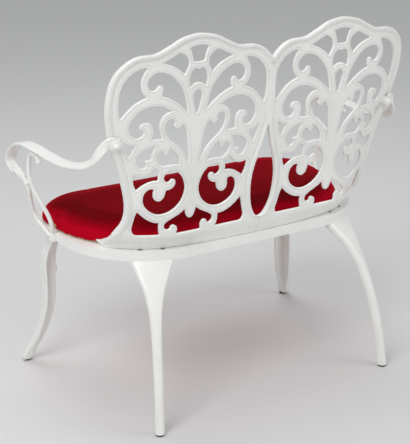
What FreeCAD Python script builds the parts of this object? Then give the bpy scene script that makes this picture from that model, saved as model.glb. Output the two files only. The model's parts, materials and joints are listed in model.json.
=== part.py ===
import FreeCAD, Part
import Sketcher
import math
import os
import re

# Two-seat scroll-back bench: a white cast-aluminium frame with a double scrollwork back, two
# scroll arms, four legs and an upholstered slip seat. Millimetres, +Z up. The sitter faces -Y,
# so the back is on the +Y side and the sitter's left arm is on the +X side. The origin is on
# the floor, in the middle of the footprint.

doc = FreeCAD.newDocument("scroll_bench")
sheet = doc.addObject("Spreadsheet::Sheet", "Sizes")

SIZES = [
    # seat frame, on its outer edge
    ("seat_half_width", 426.0),
    ("seat_front", 285.0),
    ("seat_rear", 181.0),
    ("front_corner_radius", 110.0),
    ("rear_corner_radius", 230.0),
    ("leg_height", 400.0),
    ("rail_height", 24.0),
    ("rail_wall", 8.0),
    ("ledge_width", 50.0),
    ("ledge_thickness", 6.0),
    # slip seat
    ("seat_edge_gap", 5.0),
    ("seat_rear_gap", 26.0),
    ("seat_rear_radius", 268.0),
    ("board_thickness", 10.0),
    ("cover_thickness", 1.5),
    ("cushion_height", 53.5),
    ("cover_hem", 16.0),
    # double back
    ("panel_half_width", 225.0),
    ("back_height", 538.5),
    ("panel_thickness", 8.0),
    ("rim_width", 9.0),
    ("rim_proud", 3.0),
    ("flange_height", 28.0),
    ("flange_thickness", 11.0),
    ("strap_width", 18.0),
    ("strap_thickness", 3.0),
    # arms
    ("arm_reach", 479.0),
    ("ribbon_width", 34.0),
    ("ribbon_thickness", 7.0),
    ("arm_rod_radius", 5.5),
    ("arm_pad_height", 4.0),
    ("lug_width", 24.0),
    ("lug_depth", 16.0),
    ("lug_height", 22.0),
    # legs and glides
    ("rear_leg_angle", 64.5),
    ("rear_leg_splay", 140.0),
    ("rear_leg_top_width", 110.0),
    ("rear_leg_top_depth", 35.0),
    ("rear_foot_radius", 12.0),
    ("front_leg_flange", 36.0),
    ("front_leg_wall", 6.0),
    ("glide_radius", 11.0),
    ("glide_height", 5.0),
    ("glide_stem_radius", 4.0),
    ("glide_stem_length", 16.0),
    # fasteners
    ("leg_screw_radius", 4.0),
    ("leg_screw_head_radius", 6.5),
    ("leg_screw_head_height", 8.0),
    ("leg_screw_inset", 19.0),
    ("front_screw_inset", 48.0),
    ("rear_screw_grip", 22.0),
    ("front_screw_grip", 10.0),
    ("leg_boss_radius", 12.0),
    ("small_screw_radius", 2.5),
    ("small_screw_head_radius", 4.5),
    ("small_screw_head_height", 3.0),
    ("back_screw_grip", 16.0),
    ("board_screw_radius", 2.0),
    ("board_screw_head_radius", 4.0),
    ("board_screw_head_height", 2.5),
    ("board_screw_grip", 7.0),
    ("strap_screw_radius", 1.5),
    ("strap_screw_head_radius", 3.0),
    ("strap_screw_head_height", 1.8),
    ("arm_bolt_radius", 4.0),
    ("arm_bolt_dome_radius", 8.5),
    ("arm_bolt_dome_height", 6.0),
    ("arm_washer_radius", 10.5),
    ("arm_washer_thickness", 2.0),
    ("arm_nut_radius", 7.5),
    ("arm_nut_height", 6.0),
    ("hole_clearance", 0.2),
]
for row, (alias, value) in enumerate(SIZES, start=1):
    sheet.set("A%d" % row, alias)
    sheet.set("B%d" % row, repr(value))
    sheet.setAlias("B%d" % row, alias)
doc.recompute()


def size(alias):
    return float(sheet.get(alias))


def vec(x, y, z):
    return FreeCAD.Vector(x, y, z)


parts = []


def keep(obj, name):
    obj.Label = name
    parts.append((name, obj))
    return obj


def add_shape(name, shape):
    obj = doc.addObject("Part::Feature", name)
    obj.Shape = shape
    return keep(obj, name)


def mirrored(shape):
    return shape.mirror(vec(0, 0, 0), vec(1, 0, 0))


# Sketches that are bound to the sheet.

def pair(text):
    """A size worked out from the sheet: its value now, and the expression that drives it."""
    expr = re.sub(r"[a-z]+(_[a-z]+)+", lambda found: "Sizes." + found.group(0), text)
    return float(sheet.evalExpression(expr)), expr


def origin_plane(body, role):
    return [f for f in body.Origin.OriginFeatures if f.Role == role][0]


def flat_sketch(body, name, height_expr):
    sketch = body.newObject("Sketcher::SketchObject", name)
    sketch.AttachmentSupport = [(origin_plane(body, "XY_Plane"), "")]
    sketch.MapMode = "FlatFace"
    sketch.setExpression(".AttachmentOffset.Base.z", height_expr)
    return sketch


def named(sketch, name, constraint, expr):
    index = sketch.addConstraint(constraint)
    sketch.renameConstraint(index, name)
    sketch.setExpression("Constraints." + name, expr)


def rounded_d(sketch, half_width, front, rear, front_radius, rear_radius):
    """Plan outline with two small corners at the front and two large ones at the rear.
    Each argument is a pair: the value now, and the expression that drives it."""
    w, f, r, fr, rr = [pair[0] for pair in (half_width, front, rear, front_radius, rear_radius)]
    quarter = math.pi / 2

    def line(x0, y0, x1, y1):
        sketch.addGeometry(Part.LineSegment(vec(x0, y0, 0), vec(x1, y1, 0)), False)

    def arc(x, y, radius, start):
        circle = Part.Circle(vec(x, y, 0), vec(0, 0, 1), radius)
        sketch.addGeometry(Part.ArcOfCircle(circle, start, start + quarter), False)

    line(-w + fr, -f, w - fr, -f)
    arc(w - fr, -f + fr, fr, -quarter)
    line(w, -f + fr, w, r - rr)
    arc(w - rr, r - rr, rr, 0)
    line(w - rr, r, -w + rr, r)
    arc(-w + rr, r - rr, rr, quarter)
    line(-w, r - rr, -w, -f + fr)
    arc(-w + fr, -f + fr, fr, 2 * quarter)
    for here in range(8):
        sketch.addConstraint(Sketcher.Constraint("Tangent", here, 2, (here + 1) % 8, 1))
    for flat in (0, 4):
        sketch.addConstraint(Sketcher.Constraint("Horizontal", flat))
    for upright in (2, 6):
        sketch.addConstraint(Sketcher.Constraint("Vertical", upright))
    sketch.addConstraint(Sketcher.Constraint("Equal", 1, 7))
    sketch.addConstraint(Sketcher.Constraint("Equal", 3, 5))
    named(sketch, "front_radius", Sketcher.Constraint("Radius", 1, fr), front_radius[1])
    named(sketch, "rear_radius", Sketcher.Constraint("Radius", 3, rr), rear_radius[1])
    named(sketch, "half_right", Sketcher.Constraint("DistanceX", -1, 1, 2, 1, w), half_width[1])
    named(sketch, "half_left", Sketcher.Constraint("DistanceX", 6, 1, -1, 1, w), half_width[1])
    named(sketch, "front", Sketcher.Constraint("DistanceY", 0, 1, -1, 1, f), front[1])
    named(sketch, "rear", Sketcher.Constraint("DistanceY", -1, 1, 4, 1, r), rear[1])


def circles(sketch, centres, radius):
    """Circles at (x, y), each given as a value and an expression, with one radius."""
    for number, (x, y) in enumerate(centres):
        sketch.addGeometry(Part.Circle(vec(x[0], y[0], 0), vec(0, 0, 1), radius[0]), False)
        named(sketch, "radius%d" % number, Sketcher.Constraint("Radius", number, radius[0]), radius[1])
        for axis, kind, pair in (("x", "DistanceX", x), ("y", "DistanceY", y)):
            value, expr = pair
            if value >= 0:
                rule = Sketcher.Constraint(kind, -1, 1, number, 3, value)
            else:
                rule = Sketcher.Constraint(kind, number, 3, -1, 1, -value)
                expr = "-(" + expr + ")"
            named(sketch, axis + str(number), rule, expr)


def pad(body, name, sketch, length_expr, down=False):
    feature = body.newObject("PartDesign::Pad", name)
    feature.Profile = sketch
    feature.Reversed = down
    feature.setExpression("Length", length_expr)
    return feature


def pocket(body, name, sketch, length_expr, up=True):
    """Cuts upwards from its sketch, or downwards."""
    feature = body.newObject("PartDesign::Pocket", name)
    feature.Profile = sketch
    feature.Reversed = up
    feature.setExpression("Length", length_expr)
    doc.recompute()
    return feature


# Seat frame: a cast rail of U section, open below, with a ledge that carries the seat.

def seat_outline(inset):
    """The rail's outer edge, moved in by a text of the sheet's sizes."""
    return (pair("seat_half_width - (%s)" % inset), pair("seat_front - (%s)" % inset),
            pair("seat_rear - (%s)" % inset), pair("front_corner_radius - (%s)" % inset),
            pair("rear_corner_radius - (%s)" % inset))


seat_top = size("leg_height") + size("rail_height")
ledge_under = seat_top - size("ledge_thickness")
rear_turn = math.radians(size("rear_leg_angle"))
REAR_CENTRE = ("(seat_half_width - rear_corner_radius)", "(seat_rear - rear_corner_radius)")
REAR_SCREW_SPREAD = 7.5
FRONT_SCREW_ANGLES = (-42.0, -17.0)
FRONT_LEG_LINE = 157.0


def rear_screw_centres():
    places = []
    for side in (1, -1):
        for turn in (-1, 1):
            angle = "(rear_leg_angle + %r)" % (turn * REAR_SCREW_SPREAD)
            reach = "(rear_corner_radius - leg_screw_inset)"
            x = "%s + %s * cos(%s)" % (REAR_CENTRE[0], reach, angle)
            y = "%s + %s * sin(%s)" % (REAR_CENTRE[1], reach, angle)
            places.append((pair(x if side > 0 else "-(%s)" % x), pair(y)))
    return places


def front_screw_centres():
    places = []
    reach = "(front_corner_radius - front_screw_inset)"
    for side in (1, -1):
        for angle in FRONT_SCREW_ANGLES:
            x = "seat_half_width - front_corner_radius + %s * %r" % (reach, math.cos(math.radians(angle)))
            y = "front_corner_radius - seat_front + %s * %r" % (reach, math.sin(math.radians(angle)))
            places.append((pair(x if side > 0 else "-(%s)" % x), pair(y)))
    return places


leg_screw_centres = rear_screw_centres() + front_screw_centres()

BOARD_SCREWS = [
    ("seat_half_width * 0.45", "-(seat_front - 38)"),
    ("seat_half_width - 38", "-90"),
    ("seat_half_width * 0.35", "seat_rear - 50"),
]
board_screw_centres = []
for x_text, y_text in BOARD_SCREWS:
    for sign in ("", "-"):
        board_screw_centres.append((pair("%s(%s)" % (sign, x_text)), pair(y_text)))

# The foot of the back stands on the ledge along this line: x and y of its outer edge.
FLANGE_PLAN = [(-12, 174), (80, 173), (160, 168), (240, 155.5), (290, 140), (330, 114), (355, 91), (375, 65),
               (395, 25), (410, -30)]


def plan_curve(points):
    curve = Part.BSplineCurve()
    curve.interpolate([vec(x, y, 0) for x, y in points])
    return curve


def beside(curve, parameter, distance):
    """A point beside a plan curve; a positive distance is towards the sitter."""
    place = curve.value(parameter)
    along = curve.tangent(parameter)[0]
    return vec(place.x + along.y * distance, place.y - along.x * distance, place.z)


plan_stretch = size("seat_half_width") / 426.0
rear_shift = size("seat_rear") - 181.0
flange_plan = [(x * plan_stretch, y + rear_shift) for x, y in FLANGE_PLAN]
flange_line = plan_curve(flange_plan)
back_screw_centres = []
for x_wanted in (55.0, 190.0, 325.0):
    low, high = flange_line.FirstParameter, flange_line.LastParameter
    for step in range(40):
        middle = (low + high) / 2
        if flange_line.value(middle).x < x_wanted * plan_stretch:
            low = middle
        else:
            high = middle
    hole = beside(flange_line, low, size("flange_thickness") / 2)
    back_screw_centres += [(hole.x, hole.y), (-hole.x, hole.y)]

frame = doc.addObject("PartDesign::Body", "seat_frame_body")
rail_plan = flat_sketch(frame, "rail_plan", pair("leg_height")[1])
rounded_d(rail_plan, *seat_outline("0"))
pad(frame, "rail", rail_plan, pair("rail_height")[1])
doc.recompute()
well_plan = flat_sketch(frame, "well_plan", pair("leg_height")[1])
rounded_d(well_plan, *seat_outline("rail_wall"))
pocket(frame, "well", well_plan, pair("rail_height - ledge_thickness")[1])
middle_plan = flat_sketch(frame, "middle_plan", pair("leg_height")[1])
rounded_d(middle_plan, *seat_outline("rail_wall + ledge_width"))
pocket(frame, "middle_opening", middle_plan, pair("rail_height + 1.0")[1])
boss_plan = flat_sketch(frame, "boss_plan", pair("leg_height")[1])
circles(boss_plan, leg_screw_centres, pair("leg_boss_radius"))
pad(frame, "leg_bosses", boss_plan, pair("rail_height - ledge_thickness")[1])
doc.recompute()
leg_hole_plan = flat_sketch(frame, "leg_hole_plan", pair("leg_height")[1])
circles(leg_hole_plan, leg_screw_centres, pair("leg_screw_radius + hole_clearance"))
pocket(frame, "leg_holes", leg_hole_plan, pair("rail_height + 1.0")[1])
sink_plan = flat_sketch(frame, "sink_plan", pair("leg_height + rail_height - leg_screw_head_height - 0.5")[1])
circles(sink_plan, leg_screw_centres, pair("leg_screw_head_radius + hole_clearance"))
pocket(frame, "head_sinks", sink_plan, pair("leg_screw_head_height + 1.5")[1])
board_hole_plan = flat_sketch(frame, "board_hole_plan", pair("leg_height")[1])
circles(board_hole_plan, board_screw_centres, pair("board_screw_radius + hole_clearance"))
pocket(frame, "board_holes", board_hole_plan, pair("rail_height + 1.0")[1])
doc.recompute()
frame_shape = frame.Shape
for x, y in back_screw_centres:
    drill = Part.makeCylinder(size("small_screw_radius") + size("hole_clearance"), size("rail_height") + 2,
                              vec(x, y, size("leg_height") - 1))
    frame_shape = frame_shape.cut(drill)

# Slip seat: a board, a crowned foam and the velvet that is pulled over both.
SEAT_CROWN = [
    # inset of the edge, height as a share of the cushion
    (4.0, 0.0),
    (0.8, 0.11),
    (0.0, 0.24),
    (3.5, 0.43),
    (12.0, 0.60),
    (30.0, 0.75),
    (70.0, 0.885),
    (135.0, 0.975),
    (185.0, 1.0),
]


def cushion_outline(inset):
    depth = "(seat_front - seat_edge_gap + seat_rear - seat_rear_gap)"
    share = "((%s - 2 * (%s)) / %s)" % (depth, inset, depth)
    return (pair("seat_half_width - seat_edge_gap - (%s)" % inset),
            pair("seat_front - seat_edge_gap - (%s)" % inset),
            pair("seat_rear - seat_rear_gap - (%s)" % inset),
            pair("(front_corner_radius - seat_edge_gap) * %s" % share),
            pair("seat_rear_radius * %s" % share))


def crowned(body, name, skin, base, subtract=False):
    """A loft through the crown's outlines, moved in and down by a skin's thickness."""
    sections = []
    for number, (inset, share) in enumerate(SEAT_CROWN):
        rise = "(cushion_height - %s - (%s)) * %r" % (base, skin, share)
        height = "leg_height + rail_height + %s + %s" % (base, rise)
        section = flat_sketch(body, "%s_%d" % (name, number), pair(height)[1])
        rounded_d(section, *cushion_outline("%s + %r" % (skin, inset)))
        sections.append(section)
    doc.recompute()
    kind = "PartDesign::SubtractiveLoft" if subtract else "PartDesign::AdditiveLoft"
    loft = body.newObject(kind, name)
    loft.Profile = sections[0]
    loft.Sections = sections[1:]
    loft.Ruled = False
    doc.recompute()
    return loft


cover = doc.addObject("PartDesign::Body", "seat_cover_body")
crowned(cover, "velvet", "0", "0")
crowned(cover, "hollow", "cover_thickness", "cover_thickness", True)
hem_plan = flat_sketch(cover, "hem_plan", pair("leg_height + rail_height - 1")[1])
rounded_d(hem_plan, *cushion_outline("4 + cover_hem"))
pocket(cover, "hem_opening", hem_plan, pair("cover_thickness + 2")[1])

board = doc.addObject("PartDesign::Body", "seat_board_body")
board_plan = flat_sketch(board, "board_plan", pair("leg_height + rail_height + cover_thickness")[1])
rounded_d(board_plan, *cushion_outline("4 + cover_thickness"))
pad(board, "board", board_plan, pair("board_thickness")[1])
doc.recompute()
pilot_plan = flat_sketch(board, "pilot_plan", pair("leg_height + rail_height")[1])
circles(pilot_plan, board_screw_centres, pair("board_screw_radius"))
pocket(board, "pilot_holes", pilot_plan, pair("cover_thickness + board_screw_grip + 0.5")[1])

foam = doc.addObject("PartDesign::Body", "seat_foam_body")
crowned(foam, "crown", "cover_thickness", "cover_thickness")
board_space = flat_sketch(foam, "board_space", pair("leg_height + rail_height")[1])
rounded_d(board_space, *cushion_outline("-20.0"))
pocket(foam, "board_seat", board_space, pair("cover_thickness + board_thickness")[1])

doc.recompute()
# The double back: two mirrored castings that meet on the bench's centre plane. Outlines are
# read from the stem of one casting: distance from the stem, and height above the floor.
NOMINAL_HALF_WIDTH = 225.0
NOMINAL_HEIGHT = 538.5
NOMINAL_SEAT_TOP = 424.0
NOMINAL_STEM = 209.5
pattern_wide = size("panel_half_width") / NOMINAL_HALF_WIDTH
pattern_high = size("back_height") / NOMINAL_HEIGHT
stem = NOMINAL_STEM * pattern_wide


def pattern_z(height):
    return seat_top + (height - NOMINAL_SEAT_TOP) * pattern_high


# Each opening of the scrollwork is a ring of spans that meet at corners. A span runs
# smoothly through its points to the first point of the next one.
SCROLL_OPENINGS = {
    "shoulder": [
        [(132, 895), (157, 890), (172.5, 881), (193.5, 850), (197, 811), (195.5, 795)],
        [(190.5, 776), (181, 788.5), (157, 812.5), (145, 819)],
        [(130, 824.5), (145, 846.5), (144.5, 871), (139.5, 882)],
    ],
    "crown_side": [
        [(95, 901.5), (74, 911.5)],
        [(52, 921.5), (41, 917.5), (31, 908.5), (26.5, 898), (28.5, 886)],
        [(38, 868.5), (49, 879.5), (79, 896.5)],
    ],
    "top_spiral": [
        [(23.5, 776), (28.5, 797), (40, 833), (50, 848), (72, 870), (100, 880.5), (113, 879.5),
         (123, 873.5), (129, 866), (130.5, 853), (124, 841.5), (117, 839.5)],
        [(105, 848.5), (99.5, 850.5), (94, 847.5), (92, 840.5), (93, 832)],
        [(96.5, 824.5), (84, 821), (53, 803.5), (37, 790.5)],
    ],
    "arch": [
        [(62, 785.5), (79, 793.5), (95, 800), (120, 802), (144, 794.5), (165, 770), (169, 757),
         (163.5, 737), (147.5, 726.5), (134.5, 734)],
        [(137, 746), (144, 754.5), (140.5, 760.5), (133.5, 763.3), (125, 763.5), (117.5, 759), (111.5, 731)],
        [(113, 720.8), (100, 721)],
        [(87.5, 720), (91.5, 732), (95.5, 757), (92, 769), (84, 778.5), (74, 784)],
    ],
    "stem_side": [
        [(38.5, 752), (28.8, 740), (20, 706), (15, 667)],
        [(14.5, 650), (20.5, 662), (33, 684.5), (51, 702.5), (70, 719), (82, 745), (80, 759), (74, 765.5),
         (66.5, 767), (60.5, 763)],
        [(57.5, 756.5), (56, 744.5), (51, 742), (41, 747.5)],
    ],
    "hook_outer": [
        [(103.5, 704), (116, 702.5), (137, 693), (149.5, 677), (147, 659.5), (134.5, 650), (128, 651.5),
         (124.5, 656), (125.5, 661.5)],
        [(128.5, 666.5), (124.5, 669.8), (118.5, 670)],
        [(113, 671), (112.2, 679)],
    ],
    "hook_inner": [
        [(38.5, 649.5), (44, 671.5)],
        [(67, 694.5), (69.5, 689), (75.5, 678.8), (79.5, 679.5)],
        [(82, 684.5), (91, 689), (96, 686), (99.7, 680), (96.5, 664), (82, 652), (65, 652.5), (47, 652)],
    ],
    "wedge": [
        [(179.5, 721), (162.5, 710.2)],
        [(153, 707.5), (161.5, 690.5)],
        [(167.5, 679), (172.5, 689), (176.5, 703)],
    ],
    "side_leaf": [
        [(155, 633.5), (138, 630), (120, 633.5), (112.5, 639.5)],
        [(104, 650.4)],
        [(89, 641.5), (91.5, 626)],
        [(91.5, 615.5), (121, 611), (138, 600)],
        [(145, 594), (155, 623)],
    ],
    "big_scroll": [
        [(100.5, 593.5), (114, 595), (121, 590.5), (128.5, 573.5), (124.5, 551.5), (106, 533.5), (94, 528),
         (68, 527), (43, 539), (24.5, 561.5), (18.8, 587), (25, 611), (48, 635.5), (58, 638.2),
         (74, 630), (77.5, 622.5), (75, 614), (68, 609.5), (62, 610.5)],
        [(58, 616), (54.5, 616), (50, 615), (47, 604.5), (49.5, 597.5), (63, 589.3)],
        [(69.5, 589), (71.2, 581), (74, 571.5), (87, 562), (94.5, 564), (101.7, 577.5), (101.3, 585.5)],
    ],
    "base_side": [
        [(144.5, 538), (149, 529), (158, 496), (160.5, 487), (155.5, 472), (147, 469.3)],
        [(134, 468.8)],
        [(76, 469.5), (79, 478), (81.7, 496)],
        [(80.5, 504), (108, 509), (131, 524)],
    ],
}
# Half of each opening that the stem's line cuts in two, from that line round to it again.
STEM_OPENINGS = {
    "crown": [[(0, 935.5), (14, 934)], [(26, 930.5), (19.5, 916), (17, 906)], [(16, 898.5), (8, 897.2)]],
    "oval": [[(0, 877.5), (3, 879.5)], [(6.5, 881), (13, 880), (24, 864), (25, 852)],
             [(22, 837), (15.5, 842.5), (8.5, 846.5)]],
    "drop": [[(0, 830), (6.5, 828), (12.5, 814), (10.5, 803), (5, 782)], [(3.0, 775)]],
    "base_centre": [
        [(0, 507), (4.5, 508.5), (12.5, 522.5)],
        [(16.5, 533), (25, 525.5), (57.5, 507.5), (67.3, 496.5), (61, 484.5), (52, 485)],
        [(50.5, 490.5), (41.5, 494.5), (33.5, 485.5), (33.5, 478)],
        [(35.5, 469.3)],
    ],
}
STEM_ENDS = {"crown": (0, 897), "oval": (0, 847.8), "drop": (0, 774), "base_centre": (0, 469.3)}

# Outer edge of a casting: over the top from the stem outwards, and from the stem inwards to
# the centre plane, which its edge meets twice with the strut between.
OUTER_EDGE = [(0, 962.5), (30, 958.5), (51, 952.5), (72, 942), (92, 932.5), (111, 925), (150, 922.5),
              (170, 917), (190, 904.5), (211.5, 880), (223, 840), (224, 800), (218, 760), (209, 720),
              (193, 680), (174, 620), (159.6, 560), (159, 500), (168, 470), (170.5, 446), (167, 424)]
INNER_TOP = OUTER_EDGE[:9] + [(209.5, 883)]
INNER_LOW = [(209.5, 720), (204.5, 700), (191.2, 653.7), (175.4, 600), (173, 550), (182, 501.6),
             (192.5, 481.8), (200, 474), (209.5, 471.5)]

# The outer half of the pattern is drawn in below its middle, by this much far from the stem.
DRAW_IN = [(480, 26), (500, 20), (520, 17.5), (550, 11), (570, 8), (600, 6), (640, 6), (700, 4), (720, 0),
           (990, 0)]
DRAW_START = 70.0
DRAW_SPAN = 85.0

# Shape of the castings' rear face: at each height, how far back it stands beside the centre
# plane, and how strongly it curls forward past the middle of each casting.
BACK_FACE = [
    # height, rear face, curl
    (470, 189.7, 3.00),
    (507, 195.5, 2.40),
    (560, 203.0, 1.75),
    (620, 211.3, 1.45),
    (680, 219.5, 1.24),
    (740, 226.5, 0.98),
    (800, 233.0, 0.74),
    (860, 238.5, 0.58),
    (920, 242.5, 0.42),
    (985, 245.5, 0.33),
]
CURL_START = 220.0
CURL_STATIONS = (-12.0, 60.0, 130.0, 190.0, 235.0, 280.0, 320.0, 360.0, 400.0, 450.0)


def interpolated(table, at, column=1):
    for low, high in zip(table, table[1:]):
        if at <= high[0] or high is table[-1]:
            share = (at - low[0]) / (high[0] - low[0])
            return low[column] + (high[column] - low[column]) * share


def back_face(x, height):
    past = max(0.0, abs(x) / pattern_wide - CURL_START)
    reach = interpolated(BACK_FACE, height, 1)
    curl = interpolated(BACK_FACE, height, 2)
    return reach - curl * past * past / 1000 + rear_shift


def level(height):
    """Plan of the rear face at a nominal height."""
    if height <= NOMINAL_SEAT_TOP:
        points = flange_plan
    else:
        points = [(x * pattern_wide, back_face(x * pattern_wide, height)) for x in CURL_STATIONS]
    return points


FOOT_LEVEL = 452.0
COVE_LEVEL = 470
FOOT_LEAN = 0.62
foot_curve = []
for x, y in flange_plan[:-1]:
    foot_curve.append((x, y + (back_face(x, COVE_LEVEL) - y) * FOOT_LEAN))


STRIP_SPANS = 12


def strip_section(points, z, behind, thickness):
    """Closed plan outline between two curves beside the curve through the points."""
    curve = plan_curve(points)
    first, last = curve.FirstParameter, curve.LastParameter
    stations = [first + (last - first) * number / STRIP_SPANS for number in range(STRIP_SPANS + 1)]
    rear = [beside(curve, at, -behind) for at in stations]
    near = [beside(curve, at, thickness - behind) for at in stations]
    edges = []
    for row in (rear, near):
        spline = Part.BSplineCurve()
        spline.interpolate([vec(place.x, place.y, z) for place in row])
        edges.append(spline.toShape())
    for one, other in ((rear[-1], near[-1]), (near[0], rear[0])):
        edges.append(Part.makeLine(vec(one.x, one.y, z), vec(other.x, other.y, z)))
    return Part.Wire(Part.__sortEdges__(edges))


def slab_section(height, behind, thickness):
    points = foot_curve if height == FOOT_LEVEL else level(height)
    return strip_section(points, pattern_z(height), behind, thickness)


def slab(heights, behind, thickness):
    return Part.makeLoft([slab_section(height, behind, thickness) for height in heights], True, False)


def draw_in(distance, height):
    share = min(1.0, max(0.0, (distance - DRAW_START) / DRAW_SPAN))
    return distance - interpolated(DRAW_IN, height) * share


def face_point(distance, height, outward):
    """A pattern point in the plane of the bench's width and height."""
    x = stem + outward * distance * pattern_wide
    return vec(x, 0, pattern_z(height))


def span_edge(points):
    if len(points) == 2:
        return Part.makeLine(points[0], points[1])
    curve = Part.BSplineCurve()
    curve.interpolate(points)
    return curve.toShape()


def ring_wire(spans, place):
    """A closed wire through corner to corner spans."""
    rows = [[place(u, z) for u, z in span] for span in spans]
    edges = []
    for row, following in zip(rows, rows[1:] + rows[:1]):
        edges.append(span_edge(row + [following[0]]))
    return Part.Wire(edges)


def stem_wire(spans, end):
    """A wire that is the same on both sides of the stem."""
    edges = []
    for outward in (1, -1):
        rows = [[face_point(u, z, outward) for u, z in span] for span in spans]
        for row, following in zip(rows, rows[1:] + [[face_point(end[0], end[1], outward)]]):
            edges.append(span_edge(row + [following[0]]))
    return Part.Wire(Part.__sortEdges__(edges))


def moved_in(points, distance):
    """The same edge, moved towards the inside of a casting. Each end is drawn out a little."""
    if distance == 0:
        return points
    moved = []
    for number, (u, z) in enumerate(points):
        before = points[max(0, number - 1)]
        after = points[min(len(points) - 1, number + 1)]
        along = (after[0] - before[0], after[1] - before[1])
        length = math.hypot(*along)
        moved.append((u + along[1] / length * distance, z - along[0] / length * distance))
    if points[0][0] == 0:
        moved[0] = (0, points[0][1] - distance)
    return moved


def casting_face(inset):
    """The whole outline of the casting, or the same outline inside its rim."""
    over = 3.0 if inset else 0.0
    outer = [face_point(u, z, 1) for u, z in moved_in(OUTER_EDGE, inset)]
    top = [face_point(u, z, -1) for u, z in moved_in(INNER_TOP, inset)]
    low = [face_point(u, z, -1) for u, z in moved_in(INNER_LOW, inset)]
    centre_x = -over
    foot_z = pattern_z(NOMINAL_SEAT_TOP) - over

    def drawn(tip, before):
        reach = (centre_x - tip.x) / (tip.x - before.x) if inset else 0.0
        return tip + (tip - before) * reach

    top_end = vec(centre_x, 0, drawn(top[-1], top[-2]).z)
    low_start = vec(centre_x, 0, drawn(low[0], low[1]).z)
    low_end = vec(centre_x, 0, low[-1].z)
    foot_out = vec(outer[-1].x, 0, foot_z)
    foot_in = vec(centre_x, 0, foot_z)
    if inset:
        top = top + [top_end]
        low = [low_start] + low + [low_end]
        outer = outer + [foot_out]
    edges = [span_edge(outer), Part.makeLine(outer[-1], foot_in), Part.makeLine(foot_in, low[-1]),
             span_edge(low), Part.makeLine(low[0], top[-1]), span_edge(top)]
    return Part.Face(Part.Wire(Part.__sortEdges__(edges)))


DEPTH_START = -150.0
DEPTH_SPAN = 500.0


def along_depth(face):
    moved = face.copy()
    moved.translate(vec(0, DEPTH_START, 0))
    return moved.extrude(vec(0, DEPTH_SPAN, 0))


slab_heights = [NOMINAL_SEAT_TOP, FOOT_LEVEL] + [row[0] for row in BACK_FACE]
outline_face = casting_face(0)
opening_wires = []
for name in SCROLL_OPENINGS:
    spans = SCROLL_OPENINGS[name]
    opening_wires.append(ring_wire(spans, lambda u, z: face_point(draw_in(u, z), z, 1)))
    opening_wires.append(ring_wire(spans, lambda u, z: face_point(u, z, -1)))
for name in STEM_OPENINGS:
    opening_wires.append(stem_wire(STEM_OPENINGS[name], STEM_ENDS[name]))
openings = Part.makeCompound([Part.Face(wire) for wire in opening_wires])
holed_face = outline_face.cut(openings)
panel_slab = slab(slab_heights, 0.0, size("panel_thickness"))
lattice = along_depth(holed_face).common(panel_slab)
rim_slab = slab(slab_heights[2:], size("rim_proud"), size("panel_thickness") + 2 * size("rim_proud"))
rim_ring = along_depth(outline_face).cut(along_depth(casting_face(size("rim_width"))))
rim = rim_ring.common(rim_slab)


COVE_HEIGHT = 18.0
FOOT_DRAFT = 2.0
flange_top = seat_top + size("flange_height")
foot_thick = size("flange_thickness")
foot_section = strip_section(flange_plan, seat_top, 0, foot_thick)
neck_section = strip_section(foot_curve, flange_top, FOOT_DRAFT, foot_thick + FOOT_DRAFT / 2)
cove_section = strip_section(level(COVE_LEVEL), flange_top + COVE_HEIGHT, 0, size("panel_thickness"))
flange_lower = Part.makeLoft([foot_section, neck_section], True, True)
flange_cove = Part.makeLoft([neck_section, cove_section], True, True)
flange = flange_lower.fuse(flange_cove)
flange = along_depth(outline_face).common(flange)

# Arm bolts go through a flat boss on each casting's outer border.
BOLT_HEIGHT = 718.0
BOLT_FROM_STEM = 195.0
BORE_REACH = 60.0


def rear_normal(x, height):
    step = 2.0
    slope_x = (back_face(x + step, height) - back_face(x - step, height)) / (2 * step)
    slope_z = (back_face(x, height + step) - back_face(x, height - step)) / (2 * step)
    normal = vec(-slope_x, 1.0, -slope_z)
    normal.normalize()
    return normal


PAD_MARGIN = 1.5
bolt_x = stem + BOLT_FROM_STEM * pattern_wide
bolt_place = vec(bolt_x, back_face(bolt_x, BOLT_HEIGHT), pattern_z(BOLT_HEIGHT))
bolt_axis = rear_normal(bolt_x, BOLT_HEIGHT)
boss_behind = size("arm_pad_height")
boss_front = size("panel_thickness") + size("rim_proud") + 1.0


def along_bolt(distance):
    return bolt_place + bolt_axis * distance


def bolt_cylinder(radius, start, end):
    return Part.makeCylinder(radius, end - start, along_bolt(start), bolt_axis)


pad_radius = size("arm_washer_radius") + PAD_MARGIN
arm_pad = bolt_cylinder(pad_radius, -boss_front, boss_behind)
casting = lattice.fuse([rim, flange, arm_pad])
bore_radius = size("arm_bolt_radius") + size("hole_clearance")
casting = casting.cut(bolt_cylinder(bore_radius, -BORE_REACH, BORE_REACH))
for x, y in back_screw_centres[::2]:
    grip = size("back_screw_grip") + 1.0
    casting = casting.cut(Part.makeCylinder(size("small_screw_radius"), grip, vec(x, y, seat_top)))

# A strap ties the two castings together along the centre strut.
STRAP_LOW = 716.0
STRAP_HIGH = 864.0
STRAP_SCREWS = (738.0, 792.0, 846.0)
strap_half = size("strap_width") / 2
strap_z = pattern_z(STRAP_LOW)
strap_box = Part.makeBox(size("strap_width"), DEPTH_SPAN, pattern_z(STRAP_HIGH) - strap_z,
                         vec(-strap_half, DEPTH_START, strap_z))
strap_slab = slab(slab_heights[2:], size("strap_thickness"), size("strap_thickness"))
strap = strap_box.common(strap_slab)


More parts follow.
